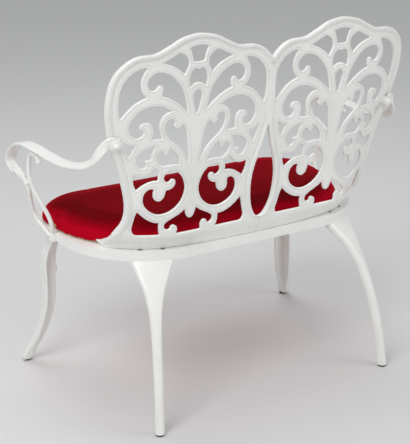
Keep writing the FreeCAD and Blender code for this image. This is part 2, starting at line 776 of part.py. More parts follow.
def headed(place, axis, shank_radius, shank, head_radius, head, dome=False):
    """A screw: its head ends at the place, and its shank runs from there along the axis."""
    pin = Part.makeCylinder(shank_radius, shank, place, axis)
    if dome:
        ball = (head_radius * head_radius + head * head) / (2 * head)
        cap = Part.makeSphere(ball, place + axis * (ball - head))
        cap = cap.common(Part.makeCylinder(head_radius, head, place - axis * head, axis))
    else:
        cap = Part.makeCylinder(head_radius, head, place - axis * head, axis)
        edge = [e for e in cap.Edges if abs(e.CenterOfMass.distanceToPoint(place) - head) < 0.01
                and e.Length > head_radius]
        cap = cap.makeChamfer(head * 0.2, edge)
    return pin.fuse(cap).removeSplitter()


def both_sides(shapes):
    return shapes + [mirrored(shape) for shape in shapes]


SPOT_DEPTH = 8.0
strap_screws = []
for height in STRAP_SCREWS:
    for side in (-1, 1):
        x = side * strap_half * 0.5
        axis = rear_normal(0.0, height)
        front = vec(x, back_face(0.0, height), pattern_z(height)) - axis * size("panel_thickness")
        reach = size("panel_thickness") + size("strap_thickness") - 0.5
        screw = headed(front, axis, size("strap_screw_radius"), reach, size("strap_screw_head_radius"),
                       size("strap_screw_head_height"))
        strap_screws.append(screw)
        drill = Part.makeCylinder(size("strap_screw_radius"), reach, front, axis)
        strap = strap.cut(drill)
        casting = casting.cut(Part.makeCylinder(size("strap_screw_radius") + 0.1, reach, front - axis, axis))
        spot = size("strap_screw_head_radius") + 0.5
        casting = casting.cut(Part.makeCylinder(spot, SPOT_DEPTH, front, axis * -1))


# Arms. The ribbon leaves the pad on the back's border with its width upright, turns flat on
# its way forward, rolls over at the front and tapers into a bowed rod.
ARM_RIBBON = [
    # place from the arm's outer line, depth, height, turn from upright, share of the width
    (-51.0, 184.2, 716.0, 0.0, 0.70),
    (-35.5, 173.0, 692.0, 12.0, 0.68),
    (-27.5, 151.0, 671.0, 34.0, 0.70),
    (-22.5, 120.0, 658.5, 58.0, 0.77),
    (-18.0, 84.0, 651.0, 78.0, 0.88),
    (-12.0, 40.0, 648.5, 88.0, 1.0),
    (-7.0, -10.0, 651.0, 90.0, 1.0),
    (-3.5, -62.0, 655.5, 90.0, 1.0),
    (-1.0, -112.0, 658.5, 90.0, 1.0),
    (0.0, -152.0, 655.5, 90.0, 0.99),
    (0.0, -190.0, 641.0, 90.0, 0.97),
    (0.0, -220.0, 619.0, 90.0, 0.93),
    (0.0, -232.0, 597.5, 90.0, 0.86),
    (0.0, -222.0, 580.0, 90.0, 0.76),
    (0.0, -196.0, 570.0, 90.0, 0.64),
    (-0.5, -163.0, 563.0, 90.0, 0.5),
]
FRONT_ROD = [(-0.5, -163.0, 563.0), (-1.0, -143.0, 553.0), (-5.5, -141.0, 533.0), (-14.5, -155.0, 502.0),
             (-26.0, -165.0, 464.0), (-34.5, -150.0, 438.0), (-38.0, -124.0, 427.0), (-42.0, -108.0, 414.0)]
REAR_ROD = [(-1.0, -68.0, 627.0), (-0.5, -75.0, 638.0), (0.0, -95.0, 643.0), (0.0, -115.0, 634.0),
            (0.0, -126.0, 610.0), (0.0, -127.0, 584.0), (-2.5, -124.0, 562.0), (-9.0, -115.0, 535.0),
            (-19.0, -103.0, 508.0), (-32.0, -90.0, 475.0), (-39.0, -87.0, 450.0), (-44.0, -98.0, 426.0),
            (-46.0, -103.0, 412.0)]
ARM_LINE = size("arm_reach") + 2.5
arm_base = size("leg_height") - 400.0


def arm_point(row):
    return vec(ARM_LINE + row[0], row[1], row[2] + arm_base)


def ribbon_section(place, along, turn, width, thickness):
    upright = vec(math.sin(math.radians(turn)), 0, -math.cos(math.radians(turn)))
    across = upright - along * upright.dot(along)
    across.normalize()
    up = along.cross(across)
    half_w, half_t = width / 2, thickness / 2
    ease = thickness * 0.3
    corners = [(-half_w, -half_t + ease), (-half_w, half_t - ease), (-half_w + ease, half_t),
               (half_w - ease, half_t), (half_w, half_t - ease), (half_w, -half_t + ease),
               (half_w - ease, -half_t), (-half_w + ease, -half_t)]
    points = [place + across * a + up * b for a, b in corners]
    return Part.makePolygon(points + [points[0]])


def ribbon():
    """A loft along the ribbon's middle line, from inside the pad to its tapered end."""
    thick = size("ribbon_thickness")
    start = along_bolt(boss_behind + thick / 2)
    centres = [start] + [arm_point(row) for row in ARM_RIBBON]
    line = Part.BSplineCurve()
    line.interpolate(Points=centres, InitialTangent=bolt_axis.cross(vec(0, 0, -1)).normalize() * -1,
                     FinalTangent=(centres[-1] - centres[-2]).normalize())
    sections = []
    turns = [0.0] + [row[3] for row in ARM_RIBBON]
    shares = [1.0] + [row[4] for row in ARM_RIBBON]
    for place, turn, share in zip(centres, turns, shares):
        along = line.tangent(line.parameter(place))[0]
        sections.append(ribbon_section(place, along, turn, size("ribbon_width") * share, thick))
    return Part.makeLoft(sections, True, False)


def rod(points, radius):
    """Straight runs joined by tangent arcs, with a round section."""
    edges = []
    start = points[0]
    for before, corner, after in zip(points, points[1:], points[2:]):
        incoming = (corner - before).normalize()
        outgoing = (after - corner).normalize()
        turn = incoming.getAngle(outgoing)
        run = 0.45 * min((corner - before).Length, (after - corner).Length)
        if turn < 0.01:
            continue
        first = corner - incoming * run
        last = corner + outgoing * run
        inward = (outgoing - incoming).normalize()
        arc_radius = run / math.tan(turn / 2)
        middle = corner + inward * (arc_radius / math.cos(turn / 2) - arc_radius)
        if (first - start).Length > 0.001:
            edges.append(Part.makeLine(start, first))
        edges.append(Part.Arc(first, middle, last).toShape())
        start = last
    edges.append(Part.makeLine(start, points[-1]))
    path = Part.Wire(edges)
    lead = (points[1] - points[0]).normalize()
    section = Part.Wire([Part.makeCircle(radius, points[0], lead)])
    return path.makePipeShell([section], True, False)


rod_radius = size("arm_rod_radius")
front_rod = rod([arm_point(row) for row in FRONT_ROD], rod_radius)
rear_rod = rod([arm_point(row) for row in REAR_ROD], rod_radius)
scroll_tip = Part.makeSphere(rod_radius * 1.35, arm_point(REAR_ROD[0]))
knot = Part.makeSphere(rod_radius * 1.45, arm_point(FRONT_ROD[1]))
lug = Part.makeBox(size("lug_depth"), size("lug_width"), size("lug_height"),
                   vec(size("seat_half_width"), -104.0 - size("lug_width") / 2,
                       seat_top - 1.0 - size("lug_height")))
lug = lug.makeFillet(3.5, [e for e in lug.Edges if e.BoundBox.XMax > size("seat_half_width") + 1.0])
lug_screw_place = vec(size("seat_half_width") - size("rail_wall"), -104.0,
                      seat_top - size("ledge_thickness") - 6.0)
lug_reach = size("rail_wall") + size("lug_depth") * 0.7
pad_disc = bolt_cylinder(pad_radius, boss_behind, boss_behind + size("ribbon_thickness"))
washer_start = boss_behind + size("ribbon_thickness")
trimmed = ribbon().cut(bolt_cylinder(size("arm_washer_radius") + 1.5, washer_start, BORE_REACH))
trimmed = trimmed.cut(bolt_cylinder(BORE_REACH / 2, -BORE_REACH, boss_behind))
arm = trimmed.fuse([front_rod, rear_rod, scroll_tip, knot, lug, pad_disc])
arm = arm.cut(bolt_cylinder(bore_radius, -BORE_REACH, BORE_REACH))
arm = arm.cut(Part.makeCylinder(size("small_screw_radius"), lug_reach, lug_screw_place, vec(1, 0, 0)))
lug_screw = headed(lug_screw_place, vec(1, 0, 0), size("small_screw_radius"), lug_reach - 0.5,
                   size("small_screw_head_radius"), size("small_screw_head_height"))
lug_drill = Part.makeCylinder(size("small_screw_radius") + size("hole_clearance"), size("rail_wall") + 2,
                              lug_screw_place - vec(1, 0, 0), vec(1, 0, 0))
frame_shape = frame_shape.cut([lug_drill, mirrored(lug_drill)])

washer = bolt_cylinder(size("arm_washer_radius"), washer_start, washer_start + size("arm_washer_thickness"))
washer = washer.cut(bolt_cylinder(bore_radius, washer_start - 1, washer_start + BORE_REACH))
dome_seat = washer_start + size("arm_washer_thickness")
bolt_reach = dome_seat + boss_front + size("arm_nut_height") + 1.0
bolt = headed(along_bolt(dome_seat), bolt_axis * -1, size("arm_bolt_radius"), bolt_reach,
              size("arm_bolt_dome_radius"), size("arm_bolt_dome_height"), True)
nut_base = along_bolt(-boss_front)
nut_across = size("arm_nut_radius")
nut_side = bolt_axis.cross(vec(0, 0, 1)).normalize()
nut_up = nut_side.cross(bolt_axis)
nut_corners = []
for corner in range(7):
    angle = math.radians(60 * corner)
    nut_corners.append(nut_base + (nut_side * math.cos(angle) + nut_up * math.sin(angle)) * nut_across)
nut = Part.Face(Part.makePolygon(nut_corners)).extrude(bolt_axis * -size("arm_nut_height"))
nut = nut.cut(bolt_cylinder(size("arm_bolt_radius"), -BORE_REACH, BORE_REACH))

# Rear legs: a wide flat trumpet under the rail that sweeps out and down to a slim round foot.
REAR_LEG = [
    # height, how far out of its whole splay, width, depth, sag of its outer face
    (400.0, -0.125, 1.0, 1.0, 6.0),
    (392.0, -0.080, 0.955, 0.985, 5.0),
    (380.0, -0.010, 0.845, 0.955, 4.0),
    (365.0, 0.080, 0.715, 0.91, 3.0),
    (348.0, 0.180, 0.575, 0.86, 2.2),
    (325.0, 0.290, 0.435, 0.80, 1.8),
    (300.0, 0.400, 0.335, 0.76, 1.5),
    (270.0, 0.510, 0.268, 0.73, 1.3),
    (235.0, 0.615, 0.235, 0.71, 1.2),
    (190.0, 0.725, 0.219, 0.69, 1.2),
    (140.0, 0.825, 0.208, 0.67, 1.2),
    (90.0, 0.905, 0.204, 0.66, 1.2),
    (40.0, 0.965, 0.208, 0.665, 1.2),
    (5.0, 1.0, 0.218, 0.686, 1.2),
]
leg_scale = size("leg_height") / 400.0
rear_out = vec(math.cos(rear_turn), math.sin(rear_turn), 0)
rear_along = vec(rear_out.y, -rear_out.x, 0)
rear_anchor = vec(size("seat_half_width") - size("rear_corner_radius"),
                  size("seat_rear") - size("rear_corner_radius"), 0) + rear_out * size("rear_corner_radius")


def rear_leg_section(row):
    height, out, width_share, depth_share, sag = row
    half_w = size("rear_leg_top_width") * width_share / 2
    half_d = size("rear_leg_top_depth") * depth_share / 2
    round_r = min(half_w, half_d) * 0.8
    centre = rear_anchor + rear_out * (size("rear_leg_splay") * out) + vec(0, 0, height * leg_scale)

    def at(a, b):
        drop = sag * (a / half_w) ** 2
        return centre + rear_along * a + rear_out * (b - drop)

    edge_w = half_w - round_r
    edge_d = half_d - round_r
    bend = round_r * math.sqrt(0.5)
    edges = [
        Part.Arc(at(-edge_w, half_d), at(0, half_d), at(edge_w, half_d)).toShape(),
        Part.Arc(at(edge_w, half_d), at(edge_w + bend, edge_d + bend), at(half_w, edge_d)).toShape(),
        Part.makeLine(at(half_w, edge_d), at(half_w, -edge_d)),
        Part.Arc(at(half_w, -edge_d), at(edge_w + bend, -edge_d - bend), at(edge_w, -half_d)).toShape(),
        Part.Arc(at(edge_w, -half_d), at(0, -half_d), at(-edge_w, -half_d)).toShape(),
        Part.Arc(at(-edge_w, -half_d), at(-edge_w - bend, -edge_d - bend), at(-half_w, -edge_d)).toShape(),
        Part.makeLine(at(-half_w, -edge_d), at(-half_w, edge_d)),
        Part.Arc(at(-half_w, edge_d), at(-edge_w - bend, edge_d + bend), at(-edge_w, half_d)).toShape(),
    ]
    return Part.Wire(edges)


rear_leg = Part.makeLoft([rear_leg_section(row) for row in REAR_LEG], True, False)
rear_foot = rear_anchor + rear_out * size("rear_leg_splay")
foot_reach = rear_foot.y + size("rear_foot_radius")

# Front legs: an angle section whose corner points out, on a thick top pad.
FRONT_LEG = [
    # height, how far the corner stands in from the foot, flange, wall
    (400.0, 91.0, 1.60, 1.0),
    (385.0, 90.0, 1.42, 1.0),
    (365.0, 88.5, 1.16, 1.0),
    (345.0, 84.0, 1.02, 1.0),
    (320.0, 77.0, 1.0, 1.0),
    (290.0, 72.5, 0.99, 1.0),
    (268.0, 71.5, 1.08, 1.1),
    (245.0, 74.0, 0.97, 1.0),
    (210.0, 73.0, 0.96, 1.0),
    (175.0, 69.5, 0.97, 1.05),
    (140.0, 62.5, 0.93, 1.0),
    (105.0, 51.5, 0.88, 1.1),
    (70.0, 36.5, 0.82, 1.5),
    (40.0, 19.0, 0.75, 2.5),
    (18.0, 6.0, 0.72, 3.3),
    (5.0, 0.0, 0.69, 3.6),
]


def front_leg_corner(height, inward):
    y = -foot_reach + inward * math.sqrt(0.5)
    x = FRONT_LEG_LINE + foot_reach - inward * math.sqrt(0.5)
    return vec(x + size("seat_half_width") - 426.0, y, height * leg_scale)


# Below its top the leg turns a little towards the front.
FRONT_LEG_TURN = 12.0
FRONT_TURN_DEPTH = 80.0


def front_leg_section(row):
    height, inward, flange_share, wall_share = row
    corner = front_leg_corner(height, inward)
    flange_long = size("front_leg_flange") * flange_share
    wall = size("front_leg_wall") * wall_share
    plan = [(0, 0), (0, flange_long), (-wall, flange_long), (-wall, wall), (-flange_long, wall)]
    plan.append((-flange_long, 0))
    turn = FRONT_LEG_TURN * min(1.0, (FRONT_LEG[0][0] - height) / FRONT_TURN_DEPTH)
    spin = FreeCAD.Rotation(vec(0, 0, 1), -turn)
    points = [corner + spin.multVec(vec(x, y, 0)) for x, y in plan]
    return Part.makePolygon(points + [points[0]])


front_leg = Part.makeLoft([front_leg_section(row) for row in FRONT_LEG], True, False)
TOP_PAD = 14.0
pad_corner = front_leg_corner(400.0, FRONT_LEG[0][1])
pad_side = size("front_leg_flange") * FRONT_LEG[0][2]
pad_points = [(0, 0), (0, pad_side), (-pad_side, pad_side), (-pad_side, 0)]
top_pad = Part.Face(Part.makePolygon([pad_corner + vec(x, y, 0) for x, y in pad_points + pad_points[:1]]))
top_pad = top_pad.extrude(vec(0, 0, -TOP_PAD))
inner_upright = [e for e in top_pad.Edges if e.BoundBox.ZLength > TOP_PAD / 2
                 and e.BoundBox.XMax < pad_corner.x - 1 and e.BoundBox.YMin > pad_corner.y + 1]
top_pad = top_pad.makeFillet(pad_side * 0.4, inner_upright)
front_leg = front_leg.fuse(top_pad)


def leg_drills(centres, depth):
    drills = []
    for x, y in centres:
        low = vec(x[0], y[0], size("leg_height") - depth)
        drills.append(Part.makeCylinder(size("leg_screw_radius"), depth, low))
    return drills


def leg_screws(centres, grip):
    screws = []
    seat = seat_top - size("leg_screw_head_height") - 0.5
    for x, y in centres:
        length = seat - size("leg_height") + grip - 1.0
        screws.append(headed(vec(x[0], y[0], seat), vec(0, 0, -1), size("leg_screw_radius"), length,
                             size("leg_screw_head_radius"), size("leg_screw_head_height")))
    return screws


rear_places = leg_screw_centres[:4]
front_places = leg_screw_centres[4:]
rear_leg = rear_leg.cut(leg_drills(rear_places[:2], size("rear_screw_grip")))
front_leg = front_leg.cut(leg_drills(front_places[:2], size("front_screw_grip")))

# Glides: a black button under each foot with a stem pressed into the leg.
GLIDE_CHAMFER = 1.0
glide_h = size("glide_height")
front_foot = front_leg_corner(0.0, 0.0) + vec(-1, 1, 0) * (size("front_leg_flange") * FRONT_LEG[-1][2] / 2)
stem_bores = {}
glides = {}
for leg_name, foot in (("rear", rear_foot), ("front", front_foot)):
    base = vec(foot.x, foot.y, 0)
    button = Part.makeCylinder(size("glide_radius"), glide_h, base)
    sole = [e for e in button.Edges if e.Length > size("glide_radius") * math.pi and e.CenterOfMass.z < 0.01]
    button = button.makeChamfer(GLIDE_CHAMFER, sole)
    stem_base = base + vec(0, 0, glide_h)
    glide_stem = Part.makeCylinder(size("glide_stem_radius"), size("glide_stem_length"), stem_base)
    glides[leg_name] = button.fuse(glide_stem).removeSplitter()
    stem_bores[leg_name] = glide_stem
rear_leg = rear_leg.cut(stem_bores["rear"])
front_leg = front_leg.cut(stem_bores["front"])

back_screws = []
for x, y in back_screw_centres:
    reach = size("ledge_thickness") + size("back_screw_grip")
    back_screws.append(headed(vec(x, y, ledge_under), vec(0, 0, 1), size("small_screw_radius"), reach,
                              size("small_screw_head_radius"), size("small_screw_head_height")))
board_screws = []
for x, y in board_screw_centres:
    reach = size("ledge_thickness") + size("cover_thickness") + size("board_screw_grip")
    board_screws.append(headed(vec(x[0], y[0], ledge_under), vec(0, 0, 1), size("board_screw_radius"), reach,
                               size("board_screw_head_radius"), size("board_screw_head_height")))

keep(board, "seat_board")
keep(foam, "seat_foam")
keep(cover, "seat_cover")
add_shape("seat_frame", frame_shape)
for name, shape in (("back_panel", casting), ("arm", arm), ("rear_leg", rear_leg), ("front_leg", front_leg),
                    ("arm_washer", washer), ("arm_bolt", bolt), ("arm_nut", nut)):
    add_shape(name + "_left", shape)
    add_shape(name + "_right", mirrored(shape))
add_shape("back_strap", strap)
for leg_name in glides:
    add_shape(leg_name + "_glide_left", glides[leg_name])
    add_shape(leg_name + "_glide_right", mirrored(glides[leg_name]))
GROUPS = {
    "strap_screws": strap_screws,
    "rear_leg_screws": leg_screws(rear_places, size("rear_screw_grip")),
    "front_leg_screws": leg_screws(front_places, size("front_screw_grip")),
    "back_screws": back_screws,
    "board_screws": board_screws,
    "lug_screws": both_sides([lug_screw]),
}
for name in GROUPS:
    add_shape(name, Part.makeCompound(GROUPS[name]))
doc.recompute()
faults = []
for obj in doc.Objects:
    if "Invalid" in obj.State or "Error" in obj.State:
        faults.append(obj.Name)
for name, obj in parts:
    if obj.Shape.isNull() or not obj.Shape.isValid():
        faults.append(name)
if faults:
    raise RuntimeError("failed: " + ", ".join(faults))
os.makedirs("parts", exist_ok=True)
for name, obj in parts:
    obj.Shape.exportStep("parts/%s.step" % name)
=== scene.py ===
import bpy
import bmesh
import json
import math
import numpy as np
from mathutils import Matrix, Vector
from mathutils.kdtree import KDTree


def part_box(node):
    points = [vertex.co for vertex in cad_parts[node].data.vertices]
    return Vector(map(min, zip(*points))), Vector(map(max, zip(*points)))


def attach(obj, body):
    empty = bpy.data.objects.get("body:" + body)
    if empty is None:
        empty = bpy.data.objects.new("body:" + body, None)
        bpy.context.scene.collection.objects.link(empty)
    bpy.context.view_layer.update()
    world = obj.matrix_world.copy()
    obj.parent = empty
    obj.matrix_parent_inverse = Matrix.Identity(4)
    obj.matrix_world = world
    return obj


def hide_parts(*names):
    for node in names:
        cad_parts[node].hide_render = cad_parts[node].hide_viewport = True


# Two-seat scroll-back bench in white enamel with a red velvet slip seat. Metres.

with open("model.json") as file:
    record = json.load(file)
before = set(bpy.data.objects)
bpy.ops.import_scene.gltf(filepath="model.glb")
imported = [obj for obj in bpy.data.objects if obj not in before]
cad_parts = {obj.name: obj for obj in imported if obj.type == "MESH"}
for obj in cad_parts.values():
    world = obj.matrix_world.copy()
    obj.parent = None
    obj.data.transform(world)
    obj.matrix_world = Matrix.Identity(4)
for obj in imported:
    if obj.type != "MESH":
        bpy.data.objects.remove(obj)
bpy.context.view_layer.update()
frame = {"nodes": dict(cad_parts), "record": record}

MM = 0.001
WELD = 0.01 * MM
SMOOTHING = 0.5
LINE_SHADE = "line_shade"

# The camera stands where the photograph was taken from.
CAMERA_PLACE = (1.6785, 2.5094, 1.4368)
CAMERA_AZIMUTH = math.radians(146.83)
CAMERA_RISE = math.radians(18.95)
SENSOR = 36.0
LENS = 96.9


def add_camera():
    data = bpy.data.cameras.new("view_camera")
    data.sensor_fit = "VERTICAL"
    data.sensor_height = SENSOR
    data.lens = LENS
    camera = bpy.data.objects.new("view_camera", data)
    bpy.context.scene.collection.objects.link(camera)
    camera.location = CAMERA_PLACE
    flat = math.cos(CAMERA_RISE)
    sideways = math.sin(CAMERA_AZIMUTH) * flat
    back = Vector((sideways, -math.cos(CAMERA_AZIMUTH) * flat, math.sin(CAMERA_RISE)))
    camera.rotation_euler = back.to_track_quat("Z", "Y").to_euler()
    bpy.context.scene.camera = camera


# Node materials. Each maker returns a material; small helpers keep the trees short.
MIX_SHARE = 0
MIX_FIRST = 6
MIX_SECOND = 7
MIX_RESULT = 2
PAINT_LOW = (0.83, 0.83, 0.795)
PAINT_HIGH = (0.89, 0.89, 0.86)
# Paint colour along the cut lines of the castings: painted shade in the grooves.
PAINTED_SHADE_IN_LINES = (0.50, 0.50, 0.48)
VELVET_DEEP = (0.110, 0.0002, 0.0016)
VELVET_LIGHT = (0.165, 0.0004, 0.0030)
# Velvet colour at grazing angles: painted sheen.
VELVET_PAINTED_SHEEN = (0.48, 0.001, 0.012)
# Velvet colour on the steep sides: painted highlight.
VELVET_PAINTED_SIDE_LIGHT = (0.46, 0.0006, 0.014)
VELVET_SHEEN = (1.0, 0.03, 0.06, 1.0)
BLACK = (0.0, 0.0, 0.0)
WHITE = (1.0, 1.0, 1.0)
PLY_DARK = (0.33, 0.20, 0.10)
PLY_LIGHT = (0.60, 0.43, 0.25)
PLY_GRAIN = (4.0, 60.0, 60.0)
ROUGH_SWING = 0.1
FINE_TO_MOTTLE = 9.0


def new_material(name):
    material = bpy.data.materials.new(name)
    material.use_nodes = True
    tree = material.node_tree
    shader = tree.nodes["Principled BSDF"]
    return material, tree, shader


def position_noise(tree, scale, detail=3.0, roughness=0.5):
    place = tree.nodes.new("ShaderNodeTexCoord")
    noise = tree.nodes.new("ShaderNodeTexNoise")
    noise.inputs["Scale"].default_value = scale
    noise.inputs["Detail"].default_value = detail
    noise.inputs["Roughness"].default_value = roughness
    tree.links.new(place.outputs["Object"], noise.inputs["Vector"])
    return noise.outputs["Fac"]


def ramp(tree, value, stops):
    node = tree.nodes.new("ShaderNodeValToRGB")
    elements = node.color_ramp.elements
    while len(elements) < len(stops):
        elements.new(0.5)
    for element, (place, colour) in zip(elements, stops):
        element.position = place
        element.color = (*colour, 1.0)
    tree.links.new(value, node.inputs["Fac"])
    return node.outputs["Color"]


def blended(tree, share, first, second):
    """One colour output that goes over to a fixed colour as the share grows."""
    node = tree.nodes.new("ShaderNodeMix")
    node.data_type = "RGBA"
    node.inputs[MIX_SECOND].default_value = (*second, 1.0)
    tree.links.new(share, node.inputs[MIX_SHARE])
    tree.links.new(first, node.inputs[MIX_FIRST])
    return node.outputs[MIX_RESULT]


def map_range(tree, value, low, high):
    node = tree.nodes.new("ShaderNodeMapRange")
    node.inputs["To Min"].default_value = low
    node.inputs["To Max"].default_value = high
    tree.links.new(value, node.inputs["Value"])
    return node.outputs["Result"]


def bump(tree, shader, layers):
    """Stacks bumps: each layer is a height and its depth in metres."""
    normal = None
    for height, depth in layers:
        node = tree.nodes.new("ShaderNodeBump")
        node.inputs["Strength"].default_value = 1.0
        node.inputs["Distance"].default_value = depth
        tree.links.new(height, node.inputs["Height"])
        if normal is not None:
            tree.links.new(normal, node.inputs["Normal"])
        normal = node.outputs["Normal"]
    tree.links.new(normal, shader.inputs["Normal"])


def white_enamel():
    material, tree, shader = new_material("white_enamel")
    broad = position_noise(tree, 9.0, 4.0)
    fine = position_noise(tree, 170.0, 2.0)
    grain = position_noise(tree, 650.0, 1.0)
    colour = ramp(tree, broad, [(0.30, PAINT_LOW), (0.62, PAINT_HIGH)])
    # The line_shade attribute darkens the paint along the cut lines: painted shade in the grooves.
    line = tree.nodes.new("ShaderNodeAttribute")
    line.attribute_name = LINE_SHADE
    share = map_range(tree, line.outputs["Fac"], 0.0, 0.40)
    tree.links.new(blended(tree, share, colour, PAINTED_SHADE_IN_LINES), shader.inputs["Base Color"])
    tree.links.new(map_range(tree, fine, 0.26, 0.42), shader.inputs["Roughness"])
    shader.inputs["Coat Weight"].default_value = 0.25
    shader.inputs["Coat Roughness"].default_value = 0.12
    bump(tree, shader, [(broad, 0.9 * MM), (fine, 0.16 * MM), (grain, 0.03 * MM)])
    return material


def velvet():
    material, tree, shader = new_material("red_velvet")
    cloud = position_noise(tree, 5.5, 5.0, 0.6)
    brushed = position_noise(tree, 38.0, 3.0)
    pile = position_noise(tree, 1900.0, 1.0)
    base = ramp(tree, cloud, [(0.32, VELVET_DEEP), (0.68, VELVET_LIGHT)])
    # Painted sheen: the velvet is painted a lighter red where it is seen at a grazing angle.
    facing = tree.nodes.new("ShaderNodeLayerWeight")
    facing.inputs["Blend"].default_value = 0.30
    sheen_share = ramp(tree, facing.outputs["Facing"], [(0.45, BLACK), (1.0, WHITE)])
    with_painted_sheen = blended(tree, sheen_share, base, VELVET_PAINTED_SHEEN)
    # Painted highlight: the steep sides of the seat are painted a lighter red, where the lamps light them
    # from the side.
    place = tree.nodes.new("ShaderNodeTexCoord")
    split = tree.nodes.new("ShaderNodeSeparateXYZ")
    tree.links.new(place.outputs["Normal"], split.inputs["Vector"])
    side_light_share = ramp(tree, split.outputs["Z"], [(0.50, WHITE), (0.97, BLACK)])
    tree.links.new(blended(tree, side_light_share, with_painted_sheen, VELVET_PAINTED_SIDE_LIGHT), shader.inputs["Base Color"])
    shader.inputs["Roughness"].default_value = 0.95
    shader.inputs["Specular IOR Level"].default_value = 0.04
    shader.inputs["Sheen Weight"].default_value = 0.12
    shader.inputs["Sheen Roughness"].default_value = 0.35
    shader.inputs["Sheen Tint"].default_value = VELVET_SHEEN
    bump(tree, shader, [(cloud, 1.2 * MM), (brushed, 0.5 * MM), (pile, 0.3 * MM)])
    return material


def speckled(name, dark, light, scale, rough, metal, depth):
    """A plain material with mottled colour, uneven gloss and a fine surface."""
    material, tree, shader = new_material(name)
    mottle = position_noise(tree, scale, 4.0)
    fine = position_noise(tree, scale * FINE_TO_MOTTLE, 2.0)
    tree.links.new(ramp(tree, mottle, [(0.3, dark), (0.7, light)]), shader.inputs["Base Color"])
    gloss = map_range(tree, fine, rough - ROUGH_SWING, rough + ROUGH_SWING)
    tree.links.new(gloss, shader.inputs["Roughness"])
    shader.inputs["Metallic"].default_value = metal
    bump(tree, shader, [(fine, depth)])
    return material


def plywood():
    material, tree, shader = new_material("bare_plywood")
    place = tree.nodes.new("ShaderNodeTexCoord")
    stretch = tree.nodes.new("ShaderNodeMapping")
    stretch.inputs["Scale"].default_value = PLY_GRAIN
    grain = tree.nodes.new("ShaderNodeTexNoise")
    grain.inputs["Scale"].default_value = 3.0
    grain.inputs["Detail"].default_value = 6.0
    tree.links.new(place.outputs["Object"], stretch.inputs["Vector"])
    tree.links.new(stretch.outputs["Vector"], grain.inputs["Vector"])
    colour = ramp(tree, grain.outputs["Fac"], [(0.3, PLY_DARK), (0.7, PLY_LIGHT)])
    tree.links.new(colour, shader.inputs["Base Color"])
    shader.inputs["Roughness"].default_value = 0.7
    bump(tree, shader, [(grain.outputs["Fac"], 0.3 * MM)])
    return material


MATERIALS = {
    "white_paint": white_enamel(),
    "velvet": velvet(),
    "foam": speckled("seat_foam_stuff", (0.70, 0.64, 0.45), (0.82, 0.77, 0.60), 60.0, 0.9, 0.0, 0.4 * MM),
    "plywood": plywood(),
    "black_rubber": speckled("black_rubber_stuff", (0.01, 0.01, 0.01), (0.03, 0.03, 0.03), 90.0, 0.55, 0.0,
                             0.2 * MM),
    "zinc_steel": speckled("zinc_plate", (0.50, 0.50, 0.48), (0.66, 0.66, 0.64), 120.0, 0.38, 1.0, 0.05 * MM),
}


def paint(piece, slot):
    piece.data.materials.clear()
    piece.data.materials.append(MATERIALS[slot])


def paint_nodes():
    """Every CAD node that shows gets the material of its slot in the record."""
    for row in frame["record"]["subparts"]:
        paint(frame["nodes"][row["node"]], row["material_slot"])


# Stand-in meshes start from a copy of their node's own mesh.

def copy_of(node_name, name):
    source = frame["nodes"][node_name]
    piece = source.copy()
    piece.data = source.data.copy()
    piece.name = name
    piece.data.name = name
    piece.parent = None
    piece.matrix_world = source.matrix_world.copy()
    bpy.context.scene.collection.objects.link(piece)
    mesh = bmesh.new()
    mesh.from_mesh(piece.data)
    bmesh.ops.remove_doubles(mesh, verts=mesh.verts, dist=WELD)
    mesh.to_mesh(piece.data)
    mesh.free()
    return piece


def apply_modifier(piece, kind, **values):
    modifier = piece.modifiers.new(kind.lower(), kind)
    for key, value in values.items():
        setattr(modifier, key, value)
    with bpy.context.temp_override(object=piece, active_object=piece, selected_objects=[piece]):
        bpy.ops.object.modifier_apply(modifier=modifier.name)


def vertex_array(piece):
    co = np.empty(len(piece.data.vertices) * 3)
    piece.data.vertices.foreach_get("co", co)
    return co.reshape(-1, 3)


def set_vertices(piece, co):
    piece.data.vertices.foreach_set("co", co.reshape(-1))
    piece.data.update()


def shade_smooth(piece):
    piece.data.polygons.foreach_set("use_smooth", [True] * len(piece.data.polygons))
    piece.data.update()


# Scrollwork castings: the CAD panel with cast, softened edges and a line along each band, cut in and darkened
# with painted shade.
CAST_VOXEL = 1.3 * MM
EDGE_ROUND = 2.4 * MM
EDGE_DROP = 1.3 * MM
LINE_PLACE = 4.8 * MM
LINE_WIDTH = 1.0 * MM
LINE_DEPTH = 0.7 * MM
LINE_LOW = 0.484
WALL_TILT = 0.35
FACE_TILT = 0.45
FAR_OFF = 1.0


def wall_places(piece):
    """Points on the upright walls of a casting, in plan of its width and height."""
    walls = []
    for face in piece.data.polygons:
        if abs(face.normal.y) < WALL_TILT:
            corners = [piece.data.vertices[index].co for index in face.vertices]
            for first, second in zip(corners, corners[1:] + corners[:1]):
                steps = 1 + int((second - first).length / CAST_VOXEL)
                for step in range(steps):
                    between = first.lerp(second, step / steps)
                    walls.append(Vector((between.x, 0, between.z)))
    tree = KDTree(len(walls))
    for number, place in enumerate(walls):
        tree.insert(place, number)
    tree.balance()
    return tree


